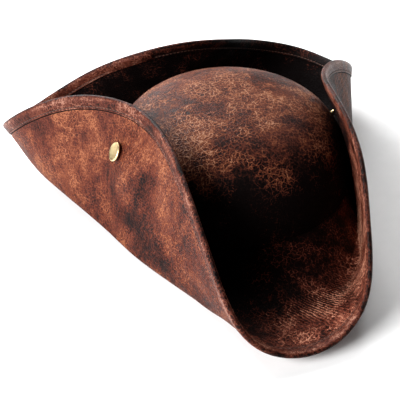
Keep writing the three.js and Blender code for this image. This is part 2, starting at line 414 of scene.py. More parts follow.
    def stud_seat(self, side: int) -> tuple[np.ndarray, np.ndarray]:
        """Finds where a stud goes through the crown.

        Args:
            side: -1 for the wearer's right, at -X, and 1 for the left.

        Returns:
            The point on the crown's outside and the unit vector out of it.
        """
        bearing = math.radians(-side * self.stud_bearing)
        rise = (self.stud_height - self.seam_height) / self.crown_height
        shrink = (1 - rise**self.crown_fullness) ** (1 / self.crown_fullness)
        point = self.ring_point(bearing, 0, self.stud_height) * (shrink, shrink, 1)
        power = self.crown_fullness - 1
        x = -math.sin(bearing) * shrink**power / self.crown_half_width
        y = -math.cos(bearing) * shrink**power / self.crown_half_length
        return point, unit(np.array([x, y, rise**power / self.crown_height]))


def crown_axis() -> np.ndarray:
    """Finds where the crown's axis stands, in millimetres, from its CAD node's box."""
    low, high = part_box("crown")
    return np.array([(low.x + high.x) / 2, (low.y + high.y) / 2, 0]) / MM


def finished(mesh: bmesh.types.BMesh, name: str, *finishes: Material) -> Piece:
    """Writes a bmesh to a smooth-shaded object at the origin.

    Args:
        mesh: The bmesh, which is freed.
        name: The object's name.
        finishes: Its materials.

    Returns:
        The object, linked to the scene.
    """
    data = bpy.data.meshes.new(name)
    mesh.to_mesh(data)
    mesh.free()
    data.shade_smooth()
    for finish in finishes:
        data.materials.append(finish)
    piece = bpy.data.objects.new(name, data)
    bpy.context.scene.collection.objects.link(piece)
    return piece


def grid_piece(
    name: str,
    points: np.ndarray,
    shares: dict[str, np.ndarray],
    *finishes: Material,
    closed_turn: bool = True,
    closed_section: bool = True,
) -> Piece:
    """Makes a piece from a grid whose points are moved onto a surface.

    Args:
        name: The piece's name.
        points: Millimetres from the foot of the crown's axis, for each column and row.
        shares: Attributes of the surface, one vector for each column and row.
        finishes: One material, or one for each half of the rows.
        closed_turn: Whether the last column joins the first.
        closed_section: Whether the last row joins the first.

    Returns:
        The finished object, linked to the scene.
    """
    columns = len(points) - (not closed_turn)
    rows = points.shape[1] - (not closed_section)
    mesh = bmesh.new()
    bmesh.ops.create_grid(mesh, x_segments=columns, y_segments=rows, size=0.5)
    grid = np.array([vert.co[:] for vert in mesh.verts]) + 0.5
    column = np.rint(grid[:, 0] * columns).astype(int) % len(points)
    row = np.rint(grid[:, 1] * rows).astype(int) % points.shape[1]
    if len(finishes) > 1:
        for face in mesh.faces:
            face.material_index = int(face.calc_center_median().y > 0)
    layers = {key: mesh.verts.layers.float_vector.new(key) for key in shares}
    places = (points[column, row] + crown_axis()) * MM
    for index, vert in enumerate(mesh.verts):
        vert.co = places[index]
        for key, layer in layers.items():
            vert[layer] = shares[key][column[index], row[index]]
    bmesh.ops.remove_doubles(mesh, verts=mesh.verts, dist=1e-6)
    bmesh.ops.recalc_face_normals(mesh, faces=mesh.faces)
    return finished(mesh, name, *finishes)


def adopt(piece: Piece, slot: str, *nodes: str) -> Piece:
    """Lets a piece ride on the hat, logs its record's material slot and stands for CAD nodes.

    Args:
        piece: The new piece.
        slot: The record's material slot.
        nodes: The CAD nodes that it stands for, if any.

    Returns:
        The piece.
    """
    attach(piece, "root")
    if nodes:
        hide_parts(*nodes)
    LOG.info("%s: %d faces, slot %s", piece.name, len(piece.data.polygons), slot)
    return piece


class NodeMaterial:
    """A material that is put together from shader nodes."""

    def __init__(self, name: str) -> None:
        """Starts the material with an empty node tree.

        Args:
            name: The material's name.
        """
        self.material = bpy.data.materials.new(name)
        self.material.use_nodes = True
        self.tree = self.material.node_tree
        self.tree.nodes.clear()

    def add(
        self,
        kind: str,
        inputs: dict[str | int, Any] | None = None,
        output: str | int = 0,
        **settings: Any,
    ) -> Socket:
        """Adds a node with its settings, values and links.

        Args:
            kind: What follows ShaderNode in the node's type name.
            inputs: Values or output sockets for its input sockets, by name or number.
            output: The name or number of the output that is wanted.
            settings: Values for the node's own properties.

        Returns:
            That output's socket.
        """
        node = self.tree.nodes.new(f"ShaderNode{kind}")
        for key, value in settings.items():
            setattr(node, key, value)
        for key, value in (inputs or {}).items():
            if isinstance(value, Socket):
                self.tree.links.new(value, node.inputs[key])
            else:
                node.inputs[key].default_value = value
        return node.outputs[output]

    def place(self) -> Socket:
        """Gives the coordinates in the object, in metres."""
        return self.add("TexCoord", output="Object")

    def attribute(self, name: str, output: str = "Fac") -> Socket:
        """Reads an attribute of the mesh, as a share or as a vector."""
        return self.add("Attribute", output=output, attribute_name=name)

    def combine(self, operation: str, *values: Socket | float) -> Socket:
        """Puts values or sockets through one Math node."""
        return self.add("Math", dict(enumerate(values)), operation=operation)

    def noise(
        self,
        vector: Socket,
        size_mm: float,
        detail: float,
        roughness: float = 0.5,
        distortion: float = 0.0,
        output: str = "Fac",
    ) -> Socket:
        """Adds a noise whose largest clouds have a real size.

        Args:
            vector: Coordinates in metres.
            size_mm: The clouds' size.
            detail: How many times it is halved for finer ones.
            roughness: How strong those are.
            distortion: How far it is bent.
            output: Fac or Color.

        Returns:
            The noise's socket.
        """
        values = {
            "Vector": vector,
            "Scale": 1 / (size_mm * MM),
            "Detail": detail,
            "Roughness": roughness,
            "Distortion": distortion,
        }
        return self.add("TexNoise", values, output)

    def ramp(self, value: Socket, stops: Sequence[tuple[float, str]]) -> Socket:
        """Turns a value into a colour.

        Args:
            value: The value's socket.
            stops: Places and hex colours of the ramp.

        Returns:
            The colour's socket.
        """
        colour = self.add("ValToRGB", {"Fac": value}, "Color")
        elements = colour.node.color_ramp.elements
        while len(elements) < len(stops):
            elements.new(1.0)
        for element, (position, srgb) in zip(elements, stops):
            element.position = position
            element.color = linear(srgb)
        return colour

    def weighted_sum(
        self, share: dict[str, Socket], weights: dict[str, float], start: Socket | float
    ) -> Socket | float:
        """Adds up shares of patterns, each times its weight.

        Args:
            share: The patterns' sockets, by name.
            weights: The weights of those that count.
            start: What they are added to.

        Returns:
            The sum's socket.
        """
        total = start
        for key, weight in weights.items():
            total = self.combine("MULTIPLY_ADD", share[key], weight, total)
        return total

    def surface(self, inputs: dict[str, Any]) -> Material:
        """Ends the tree with its one shader.

        Args:
            inputs: Values or sockets for the shader, by name.

        Returns:
            The finished material.
        """
        shader = self.add("BsdfPrincipled", inputs)
        end = self.tree.nodes.new("ShaderNodeOutputMaterial")
        self.tree.links.new(shader, end.inputs["Surface"])
        return self.material


class CreaseAxis(Enum):
    """Which of a rib's coordinates runs across the creases."""

    FRONT = "Y"
    SIDE = "X"


@dataclass(frozen=True)
class LeatherFinish:
    """Pull-up cowhide, waxed and worn, pale where it creases and where it is worn, with painted
    shade and painted highlights in its colour as well.

    Its dye is uneven in clouds a few centimetres across, and the wax cracks into a net of
    fine pale lines. The real net's cells are 2 to 5 mm across; the speckle of the grain is
    half a millimetre and is drawn at 1.5 mm so that it shows.
    """

    name: str
    # The colours, from where the wax is thick to where it is worn off; painted shade also takes the
    # darker ones and painted highlights the paler ones
    dark: str = "#060202"
    cloud: str = "#1c0d0a"
    body: str = "#36170f"
    rosy: str = "#4c241a"
    warm: str = "#5c301d"
    worn: str = "#784730"
    pale: str = "#a87452"
    # The sizes of the patterns
    cloud_mm: float = 34.0
    mottle_mm: float = 10.0
    patch_mm: float = 24.0
    net_mm: float = 3.6
    lace_mm: float = 1.9
    net_line: float = 0.14
    lace_line: float = 0.24
    speck_mm: float = 1.5
    wander_mm: float = 12.0
    bend_mm: float = 6.0
    streak_mm: float = 5.5
    crease_mm: float = 2.5
    crease_axis: CreaseAxis = CreaseAxis.FRONT
    # How far each pattern shows in the colour
    streaks: float = 0.0
    clouds: float = 0.24
    crackle: float = 0.34
    net_share: float = 1.0
    specks: float = 0.2
    creases: float = 0.0
    lightness: float = 0.0
    # How matt and how glossy it is, and how far rubbing smooths it
    roughness: float = 0.5
    gloss: float = 0.08
    rub: float = 0.4
    bump: float = 0.5
    relief_mm: float = 0.4
    rough_spread: tuple[float, float] = (-0.08, 0.1)

    def build(self) -> Material:
        """Makes the material.

        Returns:
            The material, with its pattern on Object coordinates and the rib attribute.
        """
        nodes = NodeMaterial(self.name)
        place = nodes.place()
        rib = nodes.attribute("rib", "Vector")
        wander = nodes.noise(place, self.wander_mm, 4.0, 0.6, output="Color")
        bent = nodes.add(
            "VectorMath",
            {0: wander, 1: (self.bend_mm * MM,) * 3, 2: place},
            operation="MULTIPLY_ADD",
        )
        share = self.add_noises(nodes, place, bent, rib)
        share |= self.add_cracks(nodes, bent, share["patch"])
        share["wear_and_painted_light"] = nodes.attribute("wear_and_painted_light")
        share["fold"] = self.add_folds(nodes, rib)
        # Besides worn patches, the attribute read above brings painted shade and painted highlights
        # into the colour, and the folds paint shade into the creases' hollows and highlights on
        # their crests.
        tone_weights = {
            "wear_and_painted_light": 0.8,
            "cloud": self.clouds,
            "mottle": self.clouds * 0.9,
            "net": self.crackle * self.net_share,
            "lace": self.crackle * 0.8,
            "speck": self.specks,
            "streak": -self.streaks,
            "fold": self.creases,
        }
        colour = nodes.ramp(
            nodes.weighted_sum(share, tone_weights, self.lightness),
            [
                (0.12, self.dark),
                (0.30, self.cloud),
                (0.42, self.body),
                (0.54, self.rosy),
                (0.66, self.warm),
                (0.82, self.worn),
                (1.0, self.pale),
            ],
        )
        relief_weights = {"net": 0.7, "lace": 0.5, "speck": 0.5, "fold": 2.0}
        relief = nodes.add(
            "Bump",
            {
                "Strength": self.bump,
                "Distance": self.relief_mm * MM,
                "Height": nodes.weighted_sum(share, relief_weights, 0.0),
            },
        )
        low, high = (self.roughness + step for step in self.rough_spread)
        dull = nodes.add("MapRange", {"Value": share["mottle"], "To Min": low, "To Max": high})
        return nodes.surface(
            {
                "Base Color": colour,
                "Roughness": nodes.weighted_sum(share, {"wear_and_painted_light": -self.rub}, dull),
                "Normal": relief,
                "IOR": 1.45,
                "Specular IOR Level": self.gloss,
            }
        )

    def add_noises(
        self, nodes: NodeMaterial, place: Socket, bent: Socket, rib: Socket
    ) -> dict[str, Socket]:
        """Adds the dye's clouds and mottle, the waxier patches, the grain and the streaks.

        Args:
            nodes: The material that is being made.
            place: Object coordinates.
            bent: The same, bent a little to and fro.
            rib: Coordinates that follow the leather.

        Returns:
            Each pattern's share, from 0 to 1.
        """
        along = nodes.add("Mapping", {"Vector": rib, "Scale": (1.0, 1.0, 0.16)})
        layers = {
            # coordinates, size in mm, detail, roughness, distortion, the noise values that
            # become the least share and 1, the least share
            "cloud": (place, self.cloud_mm, 7.0, 0.62, 0.6, 0.40, 0.60, 0.0),
            "mottle": (bent, self.mottle_mm, 8.0, 0.7, 0.4, 0.36, 0.64, 0.0),
            "patch": (place, self.patch_mm, 3.0, 0.6, 0.5, 0.40, 0.56, 0.4),
            "speck": (place, self.speck_mm, 3.0, 0.7, 0.0, 0.40, 0.60, 0.0),
            "streak": (along, self.streak_mm, 5.0, 0.6, 0.0, 0.48, 0.68, 0.0),
        }
        share = {}
        for key, (*pattern, low, high, least) in layers.items():
            limits = {"From Min": low, "From Max": high, "To Min": least}
            share[key] = nodes.add("MapRange", {"Value": nodes.noise(*pattern)} | limits)
        return share

    def add_cracks(self, nodes: NodeMaterial, bent: Socket, patch: Socket) -> dict[str, Socket]:
        """Adds a wide net and a fine lace of cracks in the wax.

        Args:
            nodes: The material that is being made.
            bent: Bent coordinates.
            patch: Where the wax is thick enough to crack.

        Returns:
            The share of each, 1 in the middle of its lines.
        """
        share = {}
        for key, size, line_width in (
            ("net", self.net_mm, self.net_line),
            ("lace", self.lace_mm, self.lace_line),
        ):
            edge = nodes.add(
                "TexVoronoi",
                {"Vector": bent, "Scale": 1 / (size * MM), "Randomness": 1.0},
                "Distance",
                feature="DISTANCE_TO_EDGE",
            )
            line = nodes.add(
                "MapRange",
                {"Value": edge, "From Max": line_width, "To Min": 1.0, "To Max": 0.0},
                interpolation_type="SMOOTHSTEP",
            )
            share[key] = nodes.combine("MULTIPLY", line, patch)
        return share

    def add_folds(self, nodes: NodeMaterial, rib: Socket) -> Socket:
        """Adds the fine creases, where the crease attribute says that there are some.

        Args:
            nodes: The material that is being made.
            rib: Coordinates that follow the leather.

        Returns:
            From -0.5 in a crease to 0.5 on the crest beside it.
        """
        slanted = nodes.add("Mapping", {"Vector": rib, "Rotation": (CREASE_SLANT, 0.0, 0.0)})
        waves = nodes.add(
            "TexWave",
            {
                "Vector": slanted,
                "Scale": FULL_TURN / WAVE_RATE / (self.crease_mm * MM),
                "Distortion": 5.0,
                "Detail": 3.0,
                "Detail Scale": 0.45,
                "Detail Roughness": 0.65,
            },
            "Fac",
            wave_type="BANDS",
            bands_direction=self.crease_axis.value,
        )
        fold = nodes.combine("ADD", waves, -0.5)
        return nodes.combine("MULTIPLY", fold, nodes.attribute("crease"))


@dataclass(frozen=True)
class BrassFinish:
    """Lacquered brass, stamped and polished: a pale yellow metal with a faint brushed haze."""

    name: str = "polished_brass"
    metal: str = "#e6d5a6"
    tarnish: str = "#cdb780"
    haze_mm: float = 14.0

    def build(self) -> Material:
        """Makes the material.

        Returns:
            The material, with its haze on Object coordinates.
        """
        nodes = NodeMaterial(self.name)
        haze = nodes.noise(nodes.place(), self.haze_mm, 4.0)
        rough = nodes.add("MapRange", {"Value": haze, "To Min": 0.3, "To Max": 0.42})
        colour = nodes.ramp(haze, [(0.3, self.tarnish), (0.6, self.metal)])
        return nodes.surface({"Base Color": colour, "Metallic": 1.0, "Roughness": rough})


@dataclass(frozen=True)
class ThreadFinish:
    """Waxed polyester thread, twisted: brown, and painted black, as shade, where it goes down into
    the leather.

    The real twist is about half a millimetre long and is drawn at 2 mm so that it shows.
    """

    name: str = "waxed_thread"
    hole_shade: str = "#030101"
    thread: str = "#3a1f16"
    light: str = "#6a4232"
    twist_mm: float = 1.974

    def build(self) -> Material:
        """Makes the material.

        Returns:
            The material, with its twist on Object coordinates and an attribute for its painted
            shade.
        """
        nodes = NodeMaterial(self.name)
        scale = FULL_TURN / DIAGONAL_RATE / (self.twist_mm * MM)
        twist = nodes.add(
            "TexWave",
            {"Vector": nodes.place(), "Scale": scale, "Distortion": 0.4},
            "Fac",
            bands_direction="DIAGONAL",
        )
        colour = nodes.ramp(twist, [(0.2, self.thread), (0.9, self.light)])
        # The sockets of a colour mix are its factor, numbers 6 and 7, and the output 2.
        mixed = nodes.add(
            "Mix",
            {"Factor": nodes.attribute("hole_shade"), 6: colour, 7: linear(self.hole_shade)},
            2,
            data_type="RGBA",
        )
        return nodes.surface({"Base Color": mixed, "Roughness": 0.6})


@dataclass
class Crown:
    """The round-topped crown: one wall of leather, open below for the head."""

    form: HatForm
    columns: int = 224
    rings: int = 64
    wall: float = 1.8
    hem: float = 3.0
    # How much painted sheen pales its top and painted shade darkens its foot, over which shares of
    # its height, and how much of the foot's painted shade the back gets
    top_sheen: float = 0.10
    top_sheen_zone: tuple[float, float] = (0.8, 1.0)
    foot_shade: float = -0.75
    foot_shade_zone: tuple[float, float] = (0.40, 0.85)
    back_share: float = 0.25

    def face(self, column: np.ndarray, ring: np.ndarray, inset: float) -> np.ndarray:
        """Places points on one face of the wall.

        Args:
            column: Whole column numbers.
            ring: Ring numbers from 0 at the hem to rings at the top.
            inset: How far the face lies inside the crown's outside.

        Returns:
            The points.
        """
        form = self.form
        bearing = column / self.columns * FULL_TURN
        angle = np.maximum(ring - 1, 0) / (self.rings - 1) * (math.pi / 2)
        power = 2 / form.crown_fullness
        shrink = np.maximum(np.cos(angle), 0) ** power
        shrink = np.where(ring == self.rings, 0, shrink)
        rise = (form.crown_height - inset) * np.sin(angle) ** power
        x = -np.sin(bearing) * (form.crown_half_width - inset) * shrink
        y = -np.cos(bearing) * (form.crown_half_length - inset) * shrink
        z = form.seam_height + np.where(ring == 0, -self.hem, rise)
        return np.stack([x, y, z], axis=-1)

    def build(self, finish: Material) -> Piece:
        """Makes the crown, from its top down the inside, round the hem and up the outside.

        Args:
            finish: Its leather.

        Returns:
            The crown, riding on the hat.
        """
        rings = self.rings
        column, row = np.indices((self.columns, 2 * rings + 2))
        inside = self.face(column, rings - row, self.wall)
        outside = self.face(column, row - rings - 1, 0.0)
        points = np.where((row <= rings)[..., None], inside, outside)
        shares = {"rib": points * MM, "wear_and_painted_light": self.sheen_and_shade_share(points)}
        piece = grid_piece("crown_leather", points, shares, finish, closed_section=False)
        return adopt(piece, "leather", "crown")

    def sheen_and_shade_share(self, points: np.ndarray) -> np.ndarray:
        """Paints sheen on the crown's top and shade on its foot, the shade strongest in front.

        Args:
            points: Points of the crown.

        Returns:
            From -1 for the darkest painted shade to 1 for the palest, three times for each point.
        """
        form = self.form
        rise = (points[..., 2] - form.seam_height) / form.crown_height
        front = 0.5 - points[..., 1] / form.crown_half_length / 2
        foot = 1 - smooth_step(rise, *self.foot_shade_zone)
        shaded = self.foot_shade * foot * (self.back_share + (1 - self.back_share) * front)
        return tripled(self.top_sheen * smooth_step(rise, *self.top_sheen_zone) + shaded)


@dataclass
class Brim:
    """The brim: a sheet of leather turned up in three flaps, its creases at the front painted
    darker, as shade, in their hollows.
    """

    form: HatForm
    columns: int = 480
    bands: int = 76
    sway: float = 0.35
    sway_count: int = 9
    sway_from: tuple[float, float] = (0.45, 0.6)
    sway_to: tuple[float, float] = (0.86, 0.92)
    crease_depth: float = 0.5
    crease_pitch: float = 7.5

    def build(self, inner: Material, outer: Material) -> Piece:
        """Makes the brim.

        Args:
            inner: The leather of its upper face, which faces the crown in the flaps.
            outer: The leather of its underside, which shows outside the flaps.

        Returns:
            The brim, riding on the hat.
        """
        form = self.form
        share = np.arange(self.columns)[:, None] / self.columns
        reach = np.linspace(0, 1, self.bands + 1)[None, :]
        middle = form.brim_point(share, reach)
        _, _, normal = form.brim_frame(share, reach)
        crease = self.patch_sum(INNER_CREASES, share, reach)
        under_crease = self.patch_sum(OUTER_CREASES, share, reach)
        # The leather sways a little where it is free, between the crown and the binding.
        free = smooth_step(reach, *self.sway_from) * (1 - smooth_step(reach, *self.sway_to))
        bend = 2.0 * np.sin(reach * 5)
        waves = np.sin(FULL_TURN * share * self.sway_count + bend) * np.sin(reach * 9 + 1)
        middle = middle + normal * (waves * free * self.sway)[..., None]
        ribs = form.rib_place(share[:, 0], (1 - reach) * form.brim_reach * form.rib_stretch)
        across = ribs[..., 1] * math.cos(CREASE_SLANT) - ribs[..., 2] * math.sin(CREASE_SLANT)
        ripple = np.sin(FULL_TURN * across / (self.crease_pitch * MM)) * crease
        half = form.brim_thickness / 2
        upper = middle + normal * (half + ripple * self.crease_depth / 2)[..., None]
        lower = middle - normal * half
        section = np.concatenate([upper, lower[:, ::-1]], axis=1)
        section[..., 2] = np.maximum(section[..., 2], 0)
        inside = self.patch_sum(INNER_WEAR_AND_PAINTED_LIGHT, share, reach)
        outside = self.patch_sum(OUTER_WEAR_AND_PAINTED_LIGHT, share, reach)
        wear_and_painted_light = tripled(np.concatenate([inside, outside[:, ::-1]], axis=1))
        marks = tripled(np.concatenate([crease, under_crease[:, ::-1]], axis=1))
        ribs = np.concatenate([ribs, ribs[:, ::-1]], axis=1)
        shares = {"rib": ribs, "crease": marks, "wear_and_painted_light": wear_and_painted_light}
        piece = grid_piece("brim_leather", section, shares, inner, outer)
        return adopt(piece, "leather", "brim")

    def patch_sum(
        self, patches: Sequence[tuple[float, ...]], share: np.ndarray, reach: np.ndarray
    ) -> np.ndarray:
        """Adds up soft patches of rubbing, of painted light and shade, or of creases.

        Args:
            patches: Rows of bearing, half-width, reach, half-reach and amount.
            share: Shares of the turn.
            reach: Shares of the way to the rim.

        Returns:
            The amount at each point.
        """
        share, reach = np.broadcast_arrays(share, reach)
        total = np.zeros(share.shape)
        for bearing, half_width, middle, half_reach, amount in patches:
            apart = (share * 360 - bearing + 180) % 360 - 180
            total = total + amount * np.exp(
                -((apart / half_width) ** 2) - ((reach - middle) / half_reach) ** 2
            )
        return total


@dataclass
class EdgeBinding:
    """The strip of leather folded over the rim, with its groove, stitches and lapped end."""

    form: HatForm
    columns: int = 480
    width: float = 9.0
    thickness: float = 1.25
    stitch_inset: float = 0.825
    stitch_pitch: float = 3.2
    stitch_parts: int = 8
    stitch_sides: int = 7
    stitch_radius: float = 0.36
    stitch_dip: float = 0.5
    lap_bearing: float = 172.5
    lap_length: float = 26.0
    lap_thickness: float = 1.1
    lap_gap: float = 0.1
    lap_sink: float = 0.2
    lap_columns: int = 80
    lap_rows: int = 20
    groove_height: float = 0.26
    pattern_width: float = 40.0
    # Painted shade darkens the binding's upper face past the lap, between these bearings.
    shade_past_lap: float = -0.5
    shade_from: tuple[float, float] = (170.0, 174.0)
    shade_to: tuple[float, float] = (240.0, 262.0)

    def surface(
        self, share: np.ndarray, inset: np.ndarray, height: np.ndarray, side: int
    ) -> np.ndarray:
        """Places points over one face of the brim near the rim, or past the rim.

        Args:
            share: One share of the turn for each rib.
            inset: Distances in from the rim, with those past it negative.
            height: Heights over the middle of the brim's leather.
            side: 1 for the upper face and -1 for the underside.

        Returns:
            A row of points for each rib.
        """
        form = self.form
        order = np.argsort(inset)
        reach = np.empty((len(share), len(inset)))
        reach[:, order] = form.reach_from_rim(share, np.maximum(inset[order], 0))
        points = form.brim_point(share[:, None], reach)
        _, _, normal = form.brim_frame(share[:, None], reach)
        rim = form.brim_point(share, np.ones_like(share))
        border_reach = form.reach_from_rim(share, np.array([self.width]))[:, 0]
        border = form.brim_point(share, border_reach)
        _, _, rim_normal = form.brim_frame(share, np.ones_like(share))
        outward = rim - border
        outward = unit(
            outward - rim_normal * (outward * rim_normal).sum(axis=-1, keepdims=True)
        )
        past = np.maximum(-inset, 0)[None, :, None]
        return points + outward[:, None] * past + normal * (side * height)[None, :, None]

    def build(self, finish: Material) -> Piece:
        """Makes the binding.

        Args:
            finish: Its leather.

        Returns:
            The binding, riding on the hat.
        """
        half = self.form.brim_thickness / 2
        inset, height, section_shading = np.array(BINDING_SECTION).T
        inset, height = inset * self.width, half + height * self.thickness
        share = np.arange(self.columns) / self.columns
        upper = self.surface(share, inset, height, 1)
        lower = self.surface(share, inset[:-1], height[:-1], -1)
        # Inside the fold lies the channel that the brim's edge sits in.
        channel = np.array([1.05, 0.5, 0.0]) * self.width
        under = np.full(len(channel), half * 0.9)
        closing = [
            self.surface(share, channel, under, -1),
            self.surface(share, channel[::-1], under, 1),
        ]
        section = np.concatenate([upper, lower[:, ::-1], *closing], axis=1)
        rows = section.shape[1]
        ribs = self.form.rib_place(share, np.arange(rows) / rows * self.pattern_width)
        bearing = share * 360
        shade = smooth_step(bearing, *self.shade_from) * (1 - smooth_step(bearing, *self.shade_to))
        face = np.arange(rows) < len(inset) - 2
        # The section's painted light and shade, with painted shade past the lap on the upper face.
        section_shading = np.concatenate([section_shading, section_shading[-2::-1], np.zeros(2 * len(channel))])
        wear_and_painted_light = section_shading[None, :] + self.shade_past_lap * shade[:, None] * face[None, :]
        shares = {"rib": ribs, "wear_and_painted_light": tripled(wear_and_painted_light)}
        piece = grid_piece("rim_binding", section, shares, finish)
        return adopt(piece, "binding_leather", "edge_binding")

    def build_lap(self, finish: Material) -> Piece:
        """Lays the strip's rounded end over its beginning, on the brim's upper face.

        Args:
            finish: The binding's leather.

        Returns:
            The lapped end, riding on the hat.
        """
        columns, rows = self.lap_columns, self.lap_rows
        form = self.form
        along = np.arange(columns + 1) / columns
        start = self.lap_bearing - math.degrees(self.lap_length / form.brim_reach)
        share = (start + along * (self.lap_bearing - start)) / 360
        rise = smooth_step(along, 0.0, 0.25) * smooth_step(1 - along, 0.0, 0.02)
        tip = np.maximum(along * self.lap_length - self.lap_length + self.width / 2, 0)
        spread = np.sqrt(np.maximum(0, 1 - (tip / (self.width / 2)) ** 2))
        inset, height, _ = np.array(BINDING_SECTION).T
        across = np.linspace(0, 1, rows + 1)
        top = np.empty((columns + 1, rows + 1, 3))
        base = np.empty_like(top)
        for column in range(columns + 1):
            place = 0.5 + (across - 0.5) * spread[column]
            rest = np.interp(place, inset[::-1], height[::-1]) * self.thickness
            rest = form.brim_thickness / 2 + rest
            edge = np.sin(math.pi * across) ** 0.25 * rise[column]
            here = share[column : column + 1]
            raised, sunk = self.lap_gap + self.lap_thickness * edge, -self.lap_sink * edge
            for face, lift in ((top, raised), (base, sunk)):
                face[column] = self.surface(here, place * self.width, rest + lift, 1)[0]
        section = np.concatenate([top, base[:, ::-1]], axis=1)
        shares = {"rib": section * MM}
        piece = grid_piece("binding_lap", section, shares, finish, closed_turn=False)
        return adopt(piece, "binding_leather")

    def build_stitches(self, side: int, finish: Material) -> Piece:
        """Sews the binding on, with a thread that dips into the leather between stitches.

        Args:
            side: 1 for the row on the brim's upper face and -1 for the one below.
            finish: The thread.

        Returns:
            The row of stitches, riding on the hat.
        """
        share = np.arange(2 * self.columns + 1) / (2 * self.columns)
        inset = np.array([self.stitch_inset * self.width])
        groove = self.form.brim_thickness / 2 + self.groove_height * self.thickness
        line = self.surface(share, inset, np.array([groove]), side)[:, 0]
        foot = self.surface(share, inset, np.array([0.0]), side)[:, 0]
        steps = np.linalg.norm(np.diff(line, axis=0), axis=1)
        lengths = np.concatenate([[0], np.cumsum(steps)])
        stitches = round(lengths[-1] / self.stitch_pitch)
        columns = stitches * self.stitch_parts
        places = np.arange(columns) / columns * lengths[-1]
        middle, under, ahead = (
            np.stack([np.interp(at, lengths, way[:, k]) for k in range(3)], axis=-1)
            for at, way in (
                (places, line),
                (places, foot),
                (np.mod(places + self.stitch_pitch / 4, lengths[-1]), line),
            )
        )
        forward, up = unit(ahead - middle), unit(middle - under)
        aside = np.cross(up, forward)
        phase = np.arange(columns) % self.stitch_parts / self.stitch_parts
        sunk = np.abs(np.cos(math.pi * phase)) ** 4
        dip = self.stitch_dip * sunk
        lift = self.stitch_radius / 2 - dip
        angle = np.arange(self.stitch_sides) / self.stitch_sides * FULL_TURN
        ring = np.cos(angle)[None, :, None] * aside[:, None] * self.stitch_radius
        ring = ring + np.sin(angle)[None, :, None] * up[:, None] * self.stitch_radius
        points = (middle + up * lift[:, None])[:, None] + ring
        name = "stitches_inner_face" if side > 0 else "stitches_outer_face"
        # The thread is painted black, as shade, where it sinks into the leather.
        hole_shades = np.broadcast_to(sunk[:, None, None], points.shape)
        piece = grid_piece(name, points, {"hole_shade": hole_shades}, finish)
        return adopt(piece, "binding_leather")


@dataclass
class Stud:
    """A brass stud: a dished cap with a rolled lip, a shank and a washer inside the crown."""

    form: HatForm
    node: str
    side: int
    cap_radius: float = 7.5
    cap_height: float = 1.8
    dish: float = 0.5
    shank_radius: float = 2.0
    washer_radius: float = 5.0
    washer_thickness: float = 1.0
    turns: int = 72
    lip_steps: int = 6
    bowl_rings: int = 8
    # Where the bowl starts, in radii of the lip, and its share of the dish's depth there
    bowl_inset: float = 1.25
    bowl_edge: float = 0.2

    def build(self, finish: Material) -> Piece:
        """Spins the stud's profile round its axis, between the ends of its CAD node.

        Args:
            finish: Its brass.

        Returns:
            The stud, riding on the hat.
        """
        seat, axis = self.form.stud_seat(self.side)
        seat = seat + crown_axis()
        corners = np.array([vert.co[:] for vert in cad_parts[self.node].data.vertices])
        along = (corners / MM - seat) @ axis
        base, top = along.min(), along.max()
        under = top - self.cap_height
        cap, lip = self.cap_radius, self.cap_height / 2
        profile = [
            (0.0, base),
            (self.washer_radius, base),
            (self.washer_radius, base + self.washer_thickness),
            (self.shank_radius, base + self.washer_thickness),
            (self.shank_radius, under),
            (cap - lip, under),
        ]
        for step in range(self.lip_steps + 1):
            angle = math.pi * (step / self.lip_steps - 0.5)
            profile.append((cap - lip + math.cos(angle) * lip, under + lip * (1 + math.sin(angle))))
        bowl = cap - lip * self.bowl_inset
        for step in range(self.bowl_rings + 1):
            reach = 1 - step / self.bowl_rings
            sink = self.bowl_edge + (1 - self.bowl_edge) * (1 - reach**2)
            profile.append((bowl * reach, top - self.dish * sink))
        mesh = bmesh.new()
        verts = [mesh.verts.new((radius * MM, 0, height * MM)) for radius, height in profile]
        edges = [mesh.edges.new(pair) for pair in zip(verts, verts[1:])]
        bmesh.ops.spin(
            mesh,
            geom=verts + edges,
            cent=(0, 0, 0),
            axis=(0, 0, 1),
            angle=FULL_TURN,
            steps=self.turns,
            use_merge=True,
        )
        bmesh.ops.remove_doubles(mesh, verts=mesh.verts, dist=1e-6)
        bmesh.ops.recalc_face_normals(mesh, faces=mesh.faces)
        turn = Vector((0, 0, 1)).rotation_difference(Vector(axis)).to_matrix().to_4x4()
        bmesh.ops.transform(
            mesh, matrix=Matrix.Translation(Vector(seat) * MM) @ turn, verts=mesh.verts
        )
        piece = finished(mesh, f"{self.node}_brass", finish)
        return adopt(piece, "brass", self.node)


class LightRole(Enum):
    """What a studio light does for the hat."""

    KEY = "key"
    RIM = "rim"
    TOP = "top"
    SIDE = "side"


